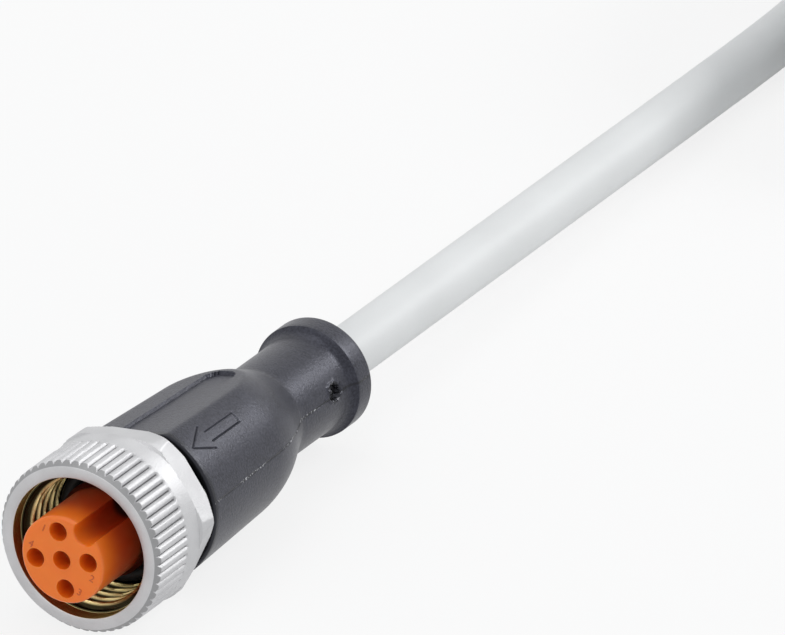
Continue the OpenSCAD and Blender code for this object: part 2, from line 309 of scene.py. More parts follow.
cable_exit = seat([0, 0, grip_end]) / mm
hank = hank_points(ring_gap)
bend = np.radians(np.arange(2, 21, 3))
bend_r = 20.6
lead_out = hank[-1] + np.column_stack([bend_r * (np.cos(bend) - 1), -bend_r * np.sin(bend), 0 * bend])
route = np.vstack([
    smooth_line(np.vstack([cable_exit, lead_points, hank[:1]]), ring_gap)[:-1],
    hank,
    lead_out,
])
cable_path = route * mm
cable = make_piece(
    "cable", tube(cable_path, cable_r * mm, jacket_sides), tube_faces(len(route), jacket_sides),
    jacket_finish, "plug", sharp=50,
)
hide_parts("cable_lead", "cable_hank", "cable_end")

# ---------------------------------------------------------------- bare end
# Five stripped wires fan out of the cut jacket and lie on the surface. Their
# strands are twisted and tinned for the last few millimetres.

wire_r, core_r = 0.55, 0.36
wire_rings, wire_sides, tip_rings, tip_sides = 60, 20, 24, 14
tuck = 0.5
tail_length, tip_length = 27, 5
tail_start = np.array([31.36, 131.4])
tail_heading = np.radians(250)
# Colour, place in the cut end (across and up), place once fanned out, and turn in degrees
wire_colours = {
    "brown": ((0.19, 0.07, 0.03), 0.79, 0.79, 2.4, 70),
    "white": ((0.84, 0.84, 0.82), 0.79, -0.79, 1.2, 85),
    "blue": ((0.03, 0.13, 0.48), 0, 0, 0, 100),
    "black": ((0.02, 0.02, 0.02), -0.79, -0.79, -1.2, 115),
    "grey": ((0.34, 0.34, 0.35), -0.79, 0.79, -2.4, 130),
}
tin_finish = make_finish("tin", (0.72, 0.72, 0.71), (0.62, 0.62, 0.62), 0.3, 0.2, 0.01, metallic=1.0)


def tail_line(s, offset, lift, spread, turned):
    """Wire at distances s from the jacket: an arc that turns by turned degrees in
    tail_length, moving out from offset to spread and down from its place to the floor."""
    radius = tail_length / np.radians(turned)
    a = tail_heading - s / radius
    centre = tail_start - radius * np.array([-np.sin(tail_heading), np.cos(tail_heading)])
    out = radius + offset + (spread - offset) * smooth(s / 5)
    height = wire_r + (cable_r + lift - wire_r) * (1 - smooth((s - 2) / 7))
    return np.column_stack([centre[0] - out * np.sin(a), centre[1] + out * np.cos(a), height])


def joined(parts):
    """One list of points and one of face arrays from (points, face arrays) pairs."""
    points, faces, count = [], [], 0
    for part_points, part_faces in parts:
        faces += [part + count for part in part_faces]
        points.append(part_points)
        count += len(part_points)
    return np.vstack(points), faces


tails, tip_parts = [], []
wire_end = tail_length - tip_length
for colour_name, (colour, *lie) in wire_colours.items():
    shade = tuple(0.85 * c for c in colour)
    wire_finish = make_finish("wire_" + colour_name, colour, shade, 0.35, 0.1, 0.002)
    line = tail_line(np.linspace(-tuck, wire_end, wire_rings), *lie) * mm
    tail = make_piece(
        "stripped_wire_" + colour_name, tube(line, wire_r * mm, wire_sides),
        tube_faces(wire_rings, wire_sides), wire_finish, "plug", sharp=50,
    )
    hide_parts("tail_" + colour_name)
    tails.append(tail)
    line = tail_line(np.linspace(wire_end - tuck, tail_length, tip_rings), *lie)
    line[:, 2] += (core_r - wire_r) * smooth(np.linspace(0, 1, tip_rings))
    tip = tube(line * mm, core_r * mm, tip_sides).reshape(-1, 3)
    tip_parts.append((tip, tube_faces(tip_rings, tip_sides)))
points, faces = joined(tip_parts)
tips = make_piece("tinned_tips_ends", points, faces, tin_finish, "plug", sharp=50)
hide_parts("tinned_tips")

# ---------------------------------------------------------------- cable ties
# Black nylon ties pulled tight round the hank's two bundles. The strap runs
# round the bundle and through its head, where its end is cut off short.

tie_y, tie_width, tie_thickness, tie_gap = 121, 3.6, 0.75, 0.05
bundle_half = np.array([turn_gap, (layers - 1) * turn_gap]) / 2 + cable_r + tie_gap
tie_finish = make_finish("tie_nylon", (0.02, 0.02, 0.02), (0.012, 0.012, 0.013), 0.34, 0.3, 0.004, patch=3)


def rounded_ring(half, r, count):
    """Rectangle of half sizes half with corners of radius r, count points a corner."""
    a = np.linspace(0, np.pi / 2, count)
    a = np.concatenate([a + k * np.pi / 2 for k in range(4)])
    corner = np.repeat([[1, 1], [-1, 1], [-1, -1], [1, -1]], count, axis=0) * (half - r)
    return corner + r * np.column_stack([np.cos(a), np.sin(a)])


def block(low, high, edge):
    """Box between two corners: its edges along y are rounded, and its ends drawn in."""
    low, high = np.array(low, float), np.array(high, float)
    half, middle = (high - low)[[0, 2]] / 2, (high + low)[[0, 2]] / 2
    ring = rounded_ring(half, edge, 5) + middle
    inner = rounded_ring(half - edge * 0.6, edge * 0.5, 5) + middle
    rings = [(inner, low[1]), (ring, low[1] + edge * 0.6), (ring, high[1] - edge * 0.6), (inner, high[1])]
    n = len(ring)
    points = np.vstack([np.column_stack([p[:, 0], np.full(n, y), p[:, 1]]) for p, y in rings])
    return points, tube_faces(4, n)


# Strap's section: how far each point stands out from the bundle, the radius of its
# corners there, and its y as a share of the half width
strap_edge = 0.1
strap_section = [
    (0, 2.38, -1), (0, 2.38, 1), (strap_edge, 2.48, 1.08), (tie_thickness - strap_edge, 2.9, 1.08),
    (tie_thickness, 3, 1), (tie_thickness, 3, -1), (tie_thickness - strap_edge, 2.9, -1.08),
    (strap_edge, 2.48, -1.08),
]
strap_half_width = tie_width / 2 - 0.13
tie_top = 2 * (bundle_half[1] + tie_thickness)
for name, centre_x in (("left", turn_gap / 2), ("right", 2 * fold_outer_r - turn_gap / 2)):
    strap = []
    for out, fold_r, y in strap_section:
        ring = rounded_ring(bundle_half + out, fold_r, 9)
        strap.append(np.column_stack([ring[:, 0], np.full(len(ring), y * strap_half_width), ring[:, 1]]))
    strap = np.stack(strap) + np.array([0, 0, tie_top / 2])
    points, faces = joined([
        (strap.reshape(-1, 3), [wrap_faces(len(strap_section), strap.shape[1], True)[:, ::-1]]),
        block([-2.8, -2.5, tie_top - 0.3], [2.8, 2.5, tie_top + 2.7], 0.5),
        block([2.5, -1.6, tie_top + 0.9], [4.1, 1.6, tie_top + 1.9], 0.2),
        block([-0.9, -1.7, tie_top + 2.5], [0.9, 1.7, tie_top + 2.7], 0.05),
    ])
    points = (points + np.array([centre_x, tie_y, 0])) * mm
    tie = make_piece("tie_" + name, points, faces, tie_finish, "plug", sharp=40)
    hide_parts("cable_tie_" + name)

# ---------------------------------------------------------------- coupling nut
# Die-cast zinc, nickel-plated matt. A fine straight knurl runs out in small
# scoops before a smooth neck, and the hexagon behind has turned corners. The
# thread inside is M12 x 1, right-handed.

knurl_teeth, knurl_angle, hex_angle = 56, 43.5, -7
knurl_r, groove_depth, knurl_front, knurl_rear = 7.55, 0.27, 0.55, 5.0
neck_r, corner_r, hex_half, hex_draft = 7.5, 7.7, 6.9, 4
knurl_pitch = 2 * np.pi * knurl_r / knurl_teeth
groove_width, groove_end = 0.3, 4.72
hex_start, nut_length, face_r = 7.0, 9.6, 7.17
thread_r, crest_r, pitch = 6.0, 5.46, 1.0
lip_r, lip_start, lead_r, lead_end = 4.93, 8.4, 6.14, 1.2


def polar_columns(start, tooth_phases, teeth):
    """Angles in degrees of the columns: the same phases in every tooth."""
    return (start + 360 / teeth * (np.arange(teeth)[:, None] + np.array(tooth_phases)[None])).ravel()


def turned(z, stations):
    """Radius at z of a turned profile given as (z, r) stations."""
    stations = np.array(stations)
    return np.interp(z, stations[:, 0], stations[:, 1])


def nut_outside(z, angle):
    """Radius: a turned outline, less the knurl's grooves, and cut by the hexagon.
    Groove: depth * (1 - off) ** 1.5, where off is the distance from its centre line
    or its round end, in groove widths. Hexagon: flat over the cosine of the angle from
    the middle of the flat."""
    outside = turned(z, [
        (0, face_r - 0.08), (0.025, face_r - 0.02), (0.08, face_r), (knurl_front, knurl_r),
        (knurl_rear - 0.4, knurl_r), (knurl_rear, neck_r), (6.75, neck_r), (6.93, corner_r),
        (8.75, corner_r), (8.83, corner_r - 0.04), (9.55, corner_r - 0.71), (nut_length, corner_r - 0.76),
    ])
    phase = (angle - knurl_angle) / 360 * knurl_teeth
    past = np.clip(z - groove_end, 0, 9) / groove_width
    off = np.clip(np.hypot((phase - np.round(phase)) * knurl_pitch / groove_width, past), 0, 1)
    groove = groove_depth * (1 - off) ** 1.5
    body = np.where(z < knurl_rear + 0.4, np.minimum(outside, knurl_r - groove), outside)
    flat = hex_half + np.clip(hex_start - z, 0, 2) / 0.6
    flat = flat - np.clip(z - hex_start, 0, 9) * np.tan(np.radians(hex_draft))
    off = np.radians((angle - hex_angle + 30) % 60 - 30)
    return np.minimum(body, flat / np.cos(off))


def nut_thread(z, angle):
    """Radius of the bore: root, 60 degree flanks and crest of a thread that climbs
    one pitch a turn, cut back by a chamfer at its start and at its end."""
    w = (z - angle / 360 * pitch) / pitch
    w = np.abs(w - np.round(w))
    ridge = thread_r - (thread_r - crest_r) * np.clip((w - 0.0625) / 0.3125, 0, 1)
    chamfer = np.maximum(lead_r - (z - lead_end), crest_r + (z - 6.45))
    return np.clip(np.maximum(ridge, chamfer), None, thread_r)


knurl_phases = [0, 0.04, 0.1, 0.17, 0.24, 0.31, 0.38, 0.5, 0.62, 0.69, 0.76, 0.83, 0.9, 0.96]
nut_columns = polar_columns(knurl_angle, knurl_phases, knurl_teeth)
outer_z = np.concatenate([
    [0, 0.025, 0.08], np.arange(0.12, 0.56, 0.05), [0.6, 0.7, 0.9, 1.5, 2.5, 3.5, 4.3, 4.6],
    np.arange(4.7, 5.1, 0.04), [5.15, 5.6, 6.2], np.arange(6.5, 7.05, 0.06),
    [7.2, 7.8, 8.4, 8.7, 8.78], np.arange(8.86, nut_length, 0.12), [nut_length],
])
thread_z = np.linspace(7.0, 1.3, 72)
z_grid, a_grid = np.meshgrid(outer_z, nut_columns, indexing="ij")
outer_r = nut_outside(z_grid, a_grid)
thread_grid, thread_a = np.meshgrid(thread_z, nut_columns, indexing="ij")
bore_r = nut_thread(thread_grid, thread_a)
plain_back = [
    (6.4, nut_length), (lip_r + 0.13, nut_length), (lip_r + 0.03, nut_length - 0.03),
    (lip_r, nut_length - 0.12), (lip_r, lip_start + 0.05), (lip_r + 0.04, lip_start),
    (thread_r - 0.05, lip_start), (thread_r, lip_start - 0.05), (thread_r, 7.1),
]
plain_front = [
    (thread_r, lead_end + 0.05), (lead_r - 0.02, lead_end), (lead_r, lead_end - 0.05), (lead_r, 0.12),
    (lead_r + 0.03, 0.04), (lead_r + 0.1, 0), (6.6, 0),
]


def plain_rows(stations):
    """Rows of a turned profile: the same radius and z in every column."""
    stations = np.array(stations)
    ones = np.ones((len(stations), len(nut_columns)))
    return stations[:, :1] * ones, stations[:, 1:] * ones


back_r, back_z = plain_rows(plain_back)
front_r, front_z = plain_rows(plain_front)
nut_r = np.vstack([outer_r, back_r, bore_r, front_r])
nut_z = np.vstack([z_grid, back_z, thread_grid, front_z])


def polar(r, z, angle):
    """Points in the local frame, seated: (r cos angle, r sin angle, z)."""
    angle = np.radians(np.broadcast_to(angle, r.shape))
    return seat(np.stack([r * np.cos(angle), r * np.sin(angle), np.broadcast_to(z, r.shape)], -1))


nut_finish = make_finish(
    "nut_metal", (0.60, 0.60, 0.61), (0.53, 0.53, 0.54), 0.5, 0.14, 0.03, metallic=0.6, patch=2.5,
)


def band(tree, value, low, high, inside, outside):
    """Runs smoothly from inside to outside as a value in metres goes from low to high mm."""
    step = add_node(
        tree, "ShaderNodeMapRange", [("Value", value)], interpolation_type="SMOOTHSTEP",
        From_Min=low * mm, From_Max=high * mm, To_Min=inside, To_Max=outside,
    )
    return step.outputs["Result"]


def combine(tree, operation, first, second):
    """One of the two-socket sums: MULTIPLY, MAXIMUM and so on."""
    return add_node(tree, "ShaderNodeMath", [(0, first), (1, second)], operation=operation).outputs[0]


def times(tree, first, second):
    """Product of two sockets."""
    return combine(tree, "MULTIPLY", first, second)


def along_axis(tree, vector, direction):
    """Dot product of a vector socket with a fixed direction."""
    dot = add_node(tree, "ShaderNodeVectorMath", [(0, vector)], operation="DOT_PRODUCT")
    dot.inputs[1].default_value = direction
    return dot.outputs["Value"]


def place_on_axis(tree):
    """Vector from the nut's front on the axis, and its height along the axis."""
    place = tree.nodes.new("ShaderNodeTexCoord")
    off = add_node(tree, "ShaderNodeVectorMath", [(0, place.outputs["Object"])], operation="SUBTRACT")
    off.inputs[1].default_value = nose
    return off.outputs[0], along_axis(tree, off.outputs[0], along)


def shade_nut(finish):
    """Tints by place: height along the axis is the dot product with it, and the radius
    is what is left. The chamfer gets painted shade, darker than the cast knurl; the
    knurl's grooves get painted shade at their bottoms; and the thread is bare brass
    with painted shade in its roots."""
    tree = finish.node_tree
    shader = tree.nodes["Principled BSDF"]
    cast = shader.inputs["Base Color"].links[0].from_socket
    off, height = place_on_axis(tree)
    on_axis = add_node(tree, "ShaderNodeVectorMath", [("Scale", height)], operation="SCALE")
    on_axis.inputs[0].default_value = along
    out = add_node(
        tree, "ShaderNodeVectorMath", [(0, off), (1, on_axis.outputs[0])], operation="SUBTRACT",
    )
    radius = add_node(tree, "ShaderNodeVectorMath", [(0, out.outputs[0])], operation="LENGTH")
    radius = radius.outputs["Value"]
    # Painted shade: the front chamfer's colour is darkened to 58 per cent by a mask on its cone.
    slope = (knurl_r - face_r) / (knurl_front - 0.08)
    above = add_node(tree, "ShaderNodeMath", [(0, height), (2, radius)], operation="MULTIPLY_ADD")
    above.inputs[1].default_value = -slope
    cone = face_r - 0.08 * slope
    chamfer = band(tree, above.outputs[0], cone - 0.04, cone - 0.01, 0, 1)
    chamfer = times(tree, chamfer, band(tree, height, 0.03, 0.07, 0, 1))
    chamfer = times(tree, chamfer, band(tree, height, 0.5, 0.57, 1, 0))
    dull = add_node(tree, "ShaderNodeMath", [(0, chamfer)], operation="MULTIPLY_ADD")
    dull.inputs[1].default_value = -0.42
    dull.inputs[2].default_value = 1
    # Painted shade: colour falls to 30 per cent towards the bottoms of the knurl's grooves, but not near
    # the front or on the smooth neck.
    furrow = band(tree, radius, knurl_r - groove_depth, knurl_r - 0.5 * groove_depth, 0.3, 1)
    smooth_part = band(tree, height, knurl_rear - 0.1, knurl_rear + 0.1, 0, 1)
    furrow = combine(tree, "MAXIMUM", furrow, smooth_part)
    furrow = combine(tree, "MAXIMUM", furrow, band(tree, height, 0.42, 0.62, 1, 0))
    grey = mixed(tree, times(tree, dull.outputs[0], furrow), (0, 0, 0), cast)
    # Painted shade: the thread's brass darkens to near black towards its roots, and the lead-in chamfer
    # keeps 65 per cent of it.
    root = band(tree, radius, crest_r + 0.06, crest_r + 0.3, 1, 0.03)
    lead = combine(tree, "MAXIMUM", root, band(tree, radius, 6.08, 6.13, 0, 0.65))
    brass = mixed(tree, lead, (0, 0, 0), (1, 0.86, 0.42))
    bore = band(tree, radius, lead_r + 0.01, lead_r + 0.06, 1, 0)
    tree.links.new(mixed(tree, bore, grey, brass), shader.inputs["Base Color"])
    bare = add_node(tree, "ShaderNodeMapRange", [("Value", bore)], To_Min=0.6, To_Max=1.0)
    tree.links.new(bare.outputs["Result"], shader.inputs["Metallic"])
    even = shader.inputs["Roughness"].links[0].from_socket
    gloss = add_node(tree, "ShaderNodeMix", [(0, bore), (2, even)], data_type="FLOAT", B=0.3)
    tree.links.new(gloss.outputs[0], shader.inputs["Roughness"])


shade_nut(nut_finish)
nut = make_piece(
    "nut", polar(nut_r, nut_z, nut_columns), [wrap_faces(len(nut_r), len(nut_columns), True)],
    nut_finish, "nut", sharp=34,
)
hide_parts("coupling_nut")

# ---------------------------------------------------------------- contact carrier
# Orange polyamide, moulded in one piece: a keyed nose with five holes for the
# contacts, a low burr of a ring round each hole, and raised numerals.

carrier_r, root_r, nose_reach, edge_r = 3.82, 4.15, 2.6, 0.26
key_angle, key_half, key_depth, key_end, flange_start = 36, 1.05, 1.3, 5.4, 6.88
hole_r, contact_hole_r, contact_front, pcd_r = 0.81, 0.77, -0.6, 2.5
rim_r = 0.96
circle_angles = np.radians(key_angle - 45 + 90 * np.arange(4))
on_circle = pcd_r * np.column_stack([np.cos(circle_angles), np.sin(circle_angles)])
contact_places = np.vstack([on_circle, [[0, 0]]])
circle_points, bottom_points, hole_sides = 150, 25, 36
hole_turn = np.radians(np.arange(hole_sides) * 360 / hole_sides)
hole_circle = np.column_stack([np.cos(hole_turn), np.sin(hole_turn)])
carrier_finish = make_finish(
    "carrier_plastic", (1, 0.225, 0.012), (0.95, 0.2, 0.010), 0.33, 0.25, 0.004, patch=3,
    Subsurface_Weight=0.3, Subsurface_Radius=(1.0, 0.22, 0.05), Subsurface_Scale=0.0008,
)


def paint_depth_shade(finish, shaded_colour, darkest_shade):
    """Painted shade: mixes along the axis towards a darker, redder colour on the nose and a near-black one
    at its root.
    """
    tree = finish.node_tree
    shader = tree.nodes["Principled BSDF"]
    plain = shader.inputs["Base Color"].links[0].from_socket
    height = place_on_axis(tree)[1]
    for low, high, colour in ((-3.4, 1.4, shaded_colour), (3.2, 4.2, darkest_shade)):
        plain = mixed(tree, band(tree, height, low, high, 0, 1), plain, colour)
    tree.links.new(plain, shader.inputs["Base Color"])


# Painted shade: the carrier darker and redder further into the nut, and nearly black at its root.
paint_depth_shade(carrier_finish, (0.55, 0.045, 0.007), (0.06, 0.005, 0.002))


def key_outline(inset, radius=carrier_r):
    """Closed outline of the nose, set in all round: a circle, and into it a slot with
    straight walls and a half-round bottom whose edges are set back half as much."""
    r = radius - inset
    half = key_half + 0.5 * inset
    mouth = np.arcsin(half / r)
    a = np.linspace(mouth, 2 * np.pi - mouth, circle_points)
    circle = r * np.column_stack([np.cos(a), np.sin(a)])
    slot_centre = carrier_r - key_depth + key_half
    b = np.linspace(1.5 * np.pi, 0.5 * np.pi, bottom_points)
    bottom = np.array([slot_centre, 0]) + half * np.column_stack([np.cos(b), np.sin(b)])
    reach = (r * np.cos(mouth) - slot_centre) * np.linspace(0, 1, 4)[1:-1]
    wall = np.column_stack([slot_centre + reach, np.full(2, half)])
    outline = np.vstack([circle, wall[::-1] * [1, -1], bottom, wall])
    t = np.radians(key_angle)
    return outline @ np.array([[np.cos(t), np.sin(t)], [-np.sin(t), np.cos(t)]])


def plate(outline, holes, hole_radius, z, facing):
    """Flat face inside an outline with round holes: its triangles, wound to face
    towards -z or +z, on the points of the outline and of the holes' circles."""
    loops = [outline] + [c + hole_radius * hole_circle for c in holes]
    points = np.vstack(loops)
    edges, start = [], 0
    for loop in loops:
        n = len(loop)
        edges += [(start + k, start + (k + 1) % n) for k in range(n)]
        start += n
    made = delaunay_2d_cdt([Vector(p) for p in points], edges, [list(range(len(outline)))], 1, 1e-6)
    flat = np.array([list(v) for v in made[0]])
    triangles = np.array(made[2])
    middle = flat[triangles].mean(1)
    clear = np.min([np.linalg.norm(middle - c, axis=1) for c in holes], axis=0) > hole_radius * 0.98
    triangles = triangles[clear]
    a, b, c = (flat[triangles[:, k]] for k in range(3))
    turn = np.cross(b - a, c - a)
    flip = (turn > 0) if facing < 0 else (turn < 0)
    triangles[flip] = triangles[flip][:, ::-1]
    return np.column_stack([flat, np.full(len(flat), z)]), triangles


def lofted(rings):
    """Wall through rings of points (one array of shape (n, 3) each), outwards when the
    rings turn from x to y and follow each other along +z."""
    n = len(rings[0])
    return np.vstack(rings), wrap_faces(len(rings), n)


def at_z(outline, z):
    """The outline's points, all at one z."""
    return np.column_stack([outline, np.full(len(outline), z)])


nose_line, root_line = key_outline(0), key_outline(0, root_r)
rings = []
for s in np.radians(np.linspace(0, 90, 7)):
    rings.append(at_z(key_outline(edge_r * (1 - np.sin(s))), edge_r * (1 - np.cos(s)) - nose_reach))
rings += [at_z(nose_line, z) for z in (-1, 1, 3, 4)]
rings += [at_z(root_line, z) for z in (4.3, key_end, flange_start)]
points, faces = lofted(rings)
parts = [(points, [faces])]
points, faces = plate(key_outline(edge_r), contact_places, rim_r, -nose_reach, -1)
parts.append((points, [faces]))
points, faces = plate(root_line, contact_places, contact_hole_r, flange_start, 1)
parts.append((points, [faces]))
contact_depth = contact_front + nose_reach
rim = [
    (rim_r, 0), (rim_r - 0.04, -0.015), (rim_r - 0.09, -0.023), (hole_r + 0.06, -0.021),
    (hole_r + 0.015, -0.01), (hole_r, 0.03), (hole_r, 0.7), (hole_r, contact_depth - 0.01),
    (contact_hole_r, contact_depth), (contact_hole_r, flange_start + nose_reach),
]
for place in contact_places:
    points, faces = lofted([at_z(place + r * hole_circle, z - nose_reach) for r, z in rim])
    parts.append((points, [faces[:, ::-1]]))
# The keyway ends in front of the flange, where the nose is whole again
key_fill = np.vstack([root_line[[circle_points - 1]], root_line[circle_points:], root_line[[0]]])
corner = np.degrees(np.arctan2(*key_fill[[-1, 0]].T[::-1]))
a = np.radians(np.linspace(corner[0], corner[1], 14))[1:-1]
key_fill = np.vstack([key_fill, root_r * np.column_stack([np.cos(a), np.sin(a)])])
points = np.vstack([at_z(key_fill, key_end), at_z(key_fill, flange_start)])
parts.append((points, tube_faces(2, len(key_fill))))
points, faces = joined(parts)
carrier = make_piece("carrier", seat(points), faces, carrier_finish, "plug", sharp=40)
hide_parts("contact_carrier")

numeral_r, numeral_size = 3.0, 0.9
numeral_tilt = np.radians(20)
# Painted shade: the moulded numerals get a darker orange than the carrier to stand in for the shading round
# their raised edges.
numeral_shaded_finish = make_finish(
    "carrier_numerals", (0.66, 0.11, 0.012), (0.56, 0.09, 0.01), 0.4, 0.25, 0.002,
)
glyphs = []
for text, angle in (("1", -35.6), ("2", 108.4), ("3", 145.4), ("4", -75.6)):
    letter = bpy.data.curves.new("numeral", "FONT")
    letter.body = text
    letter.size = numeral_size
    letter.align_x, letter.align_y = "CENTER", "CENTER"
    letter.extrude = 0.019
    letter.bevel_depth = 0.008
    letter.resolution_u = 4
    holder = bpy.data.objects.new("numeral", letter)
    bpy.context.scene.collection.objects.link(holder)
    mesh = bpy.data.meshes.new_from_object(holder.evaluated_get(bpy.context.evaluated_depsgraph_get()))
    flat = np.array([v.co[:] for v in mesh.vertices])
    bpy.data.objects.remove(holder)
    t = np.radians(angle)
    x = numeral_r * np.cos(t) + flat[:, 1] * np.cos(numeral_tilt) - flat[:, 0] * np.sin(numeral_tilt)
    y = numeral_r * np.sin(t) + flat[:, 1] * np.sin(numeral_tilt) + flat[:, 0] * np.cos(numeral_tilt)
    points = np.column_stack([x, y, -nose_reach - flat[:, 2]])
    glyphs.append((points, [np.array([list(p.vertices)]) for p in mesh.polygons]))
points, faces = joined(glyphs)
numerals = make_piece("numerals", seat(points), faces, numeral_shaded_finish, "plug", sharp=40)

# ---------------------------------------------------------------- inside pieces
# Gold-plated brass contacts, the black sealing ring, the hard inner moulding,
# and the wires and cores that the grip covers. Their CAD pieces are shown.

gold_finish = make_finish(
    "contact_gold", (0.83, 0.56, 0.20), (0.74, 0.48, 0.16), 0.28, 0.3, 0.002, metallic=1.0,
)
rubber_finish = make_finish("seal_rubber", (0.02, 0.02, 0.02), (0.014, 0.014, 0.014), 0.6, 0.1, 0.004)
mould_finish = make_finish("mould_plastic", (0.03, 0.03, 0.033), (0.02, 0.02, 0.022), 0.5, 0.12, 0.006)
copper_finish = make_finish("copper", (0.72, 0.32, 0.18), (0.6, 0.25, 0.13), 0.35, 0.2, 0.004, metallic=1.0)
kept = {"sealing_ring": rubber_finish, "inner_mould": mould_finish, "cable_sheath_end": jacket_finish}
kept.update({f"contact_{i}": gold_finish for i in range(1, 6)})
kept.update({f"core_{name}": copper_finish for name in wire_colours})
kept.update({f"wire_{name}": bpy.data.materials["wire_" + name] for name in wire_colours})
for name, finish in kept.items():
    mesh = frame["nodes"][name].data
    mesh.materials.clear()
    mesh.materials.append(finish)

# ---------------------------------------------------------------- grip
# Dark grey polyurethane moulded over the whole rear, with an eroded texture. It
# has two flats, a sunk label panel, an engraved arrow that points at the nut,
# the mould's parting line and the torn-off gate on its neck.

grip_start, shoulder_start, grip_front_r, grip_rear_r = 10.2, 21.5, 6.98, 6.48
grip_neck_r, collar_r, rim_z, fillet_start = 4.33, 5.0, 37.4, 36.3
flat_angle, gate_angle, parting_angle = -12.5, 73.4, 76.9
flat_fall, flat_end, blend = 2.195, 30, 0.05
recess_depth, recess_half, recess_reach = 0.28, 1.4, 14.2
seam_start, seam_end = 10.5, 36
gate_r, gate_z, gate_depth, stub_height = 4.3, 34.6, 0.42, 0.12
gate_half_width, gate_half_length = 0.72, 0.86
# The arrow's lines: from (angle, z) to (angle, z), half width in mm, and share of its depth
arrow_r, arrow_depth = 6.7, 0.13
arrow_lines = [
    ((36.8, 11.2), (25.8, 13.9), 0.1, 1),
    ((36.8, 11.2), (46.0, 13.8), 0.1, 1),
    ((32.0, 14.0), (32.0, 18.6), 0.09, 0.7),
    ((40.4, 14.0), (40.4, 18.6), 0.1, 1),
    ((32.0, 18.6), (40.4, 18.6), 0.09, 0.4),
]


def bow_points(centre, r, start, end, count):
    """(r, z) points of an arc from angle start to angle end, in degrees."""
    a = np.radians(np.linspace(start, end, count))
    return np.array(centre) + r * np.column_stack([np.cos(a), np.sin(a)])


def grip_profile():
    """(r, z) outline from the front face to the rear face: a straight taper, the
    shoulder's arc, a cone, the neck, a fillet and the collar."""
    taper = np.degrees(np.arctan((grip_front_r - grip_rear_r) / (shoulder_start - grip_start)))
    slope, r = 23, 15
    centre = [grip_rear_r - r * np.cos(np.radians(taper)), shoulder_start - r * np.sin(np.radians(taper))]
    foot = np.array(centre) + r * np.array([np.cos(np.radians(slope)), np.sin(np.radians(slope))])
    cone_end = foot[1] + (foot[0] - grip_neck_r) / np.tan(np.radians(slope))
    hollow = 1.2
    lift = np.degrees(np.arccos(1 - (collar_r - 0.02 - grip_neck_r) / hollow))
    return np.vstack([
        [[5.2, grip_start]], bow_points([grip_front_r - 0.25, grip_start + 0.25], 0.25, -90, 0, 6),
        bow_points(centre, r, taper, slope, 24),
        [[grip_neck_r + 0.10, cone_end - 0.26], [grip_neck_r + 0.03, cone_end - 0.03]],
        [[grip_neck_r, cone_end + 0.2]],
        bow_points([grip_neck_r + hollow, fillet_start], hollow, 180, 180 - lift, 12),
        [[collar_r, rim_z + 0.12]], bow_points([collar_r - 0.3, grip_end - 0.3], 0.3, 0, 90, 7),
        [[3.4, grip_end]],
    ])


def filled(line, step):
    """The line with points added so that none is further than step from the next."""
    out = [line[:1]]
    for a, b in zip(line[:-1], line[1:]):
        n = int(np.ceil(np.linalg.norm(b - a) / step))
        t = np.arange(1, n + 1)[:, None] / n
        out.append(a + (b - a) * t)
    return np.vstack(out)


def groove(angle, z, start, end, half):
    """1 on the line from start to end, each (angle, z), and 0 beyond half mm from it,
    with the angle unrolled at the arrow's radius."""
    x = arrow_r * np.radians(angle)
    start = np.array([arrow_r * np.radians(start[0]), start[1]])
    end = np.array([arrow_r * np.radians(end[0]), end[1]])
    d = end - start
    t = np.clip(((x - start[0]) * d[0] + (z - start[1]) * d[1]) / (d @ d), 0, 1)
    away = np.hypot(x - start[0] - t * d[0], z - start[1] - t * d[1])
    return smooth(1 - away / half)


def grip_radius(r0, z, angle):
    """Radius of the grip: its turned outline cut softly by two inclined planes, less
    the panel, the arrow's lines, the parting line and the gate's pit."""
    fall = np.tan(np.radians(flat_fall))
    cut = grip_front_r * np.cos(np.radians(30)) - fall * (z - grip_start)
    widest = 1.3
    r = r0
    for turn in (flat_angle, flat_angle + 180):
        off = np.radians((angle - turn + 180) % 360 - 180)
        plane = np.where(np.abs(off) < widest, cut / np.cos(np.clip(off, -widest, widest)), 99)
        plane = np.where(z < flat_end, plane, 99)
        if turn == flat_angle:
            across = np.abs(cut * np.tan(np.clip(off, -widest, widest)))
            reach = z - grip_start - recess_reach
            inside = np.where(reach > 0, np.hypot(across, reach), across) < recess_half
            plane = np.where(inside & (np.abs(off) < 1), plane - recess_depth, plane)
        gap = np.clip((r - plane) / blend, -30, 30)
        r = r - blend * np.log1p(np.exp(gap))
    r = r - arrow_depth * np.max([groove(angle, z, *line) * share for *line, share in arrow_lines], axis=0)
    seam = r * np.radians(angle - parting_angle)
    wander = 0.6 + 0.4 * np.sin(2.3 * z) * np.sin(0.9 * z + 1)
    lip = np.where((z > seam_start) & (z < seam_end), 1, 0) * wander
    ridge = 0.04 * np.exp(-((seam + 0.06) / 0.05) ** 2)
    furrow = 0.07 * np.exp(-((seam - 0.03) / 0.06) ** 2)
    r = r + lip * (ridge - furrow)
    u, v = r0 * np.radians(angle - gate_angle), z - gate_z
    d, phi = np.hypot(u / gate_half_width, v / gate_half_length), np.arctan2(v, u)
    ragged = 1 + 0.06 * np.sin(5 * phi + 1) + 0.05 * np.sin(9 * phi + 2) + 0.03 * np.sin(16 * phi)
    d = d / ragged
    pit = gate_depth * smooth((1.0 - d) / 0.2) - 0.09 * np.exp(-((d - 1.22) / 0.15) ** 2)
    stub = stub_height * smooth((0.45 - d) / 0.3)
    return r - pit + stub


grip_columns = np.unique(np.round(np.concatenate([
    np.arange(-180, 180, 1.25), np.arange(-27, 0.6, 0.6), np.arange(23, 49, 0.36),
    np.arange(60, 88, 0.75), np.arange(75.6, 78.4, 0.25),
]), 3))
grip_columns = grip_columns[np.concatenate([[True], np.diff(grip_columns) > 0.17])]
outline = filled(grip_profile(), 0.5)
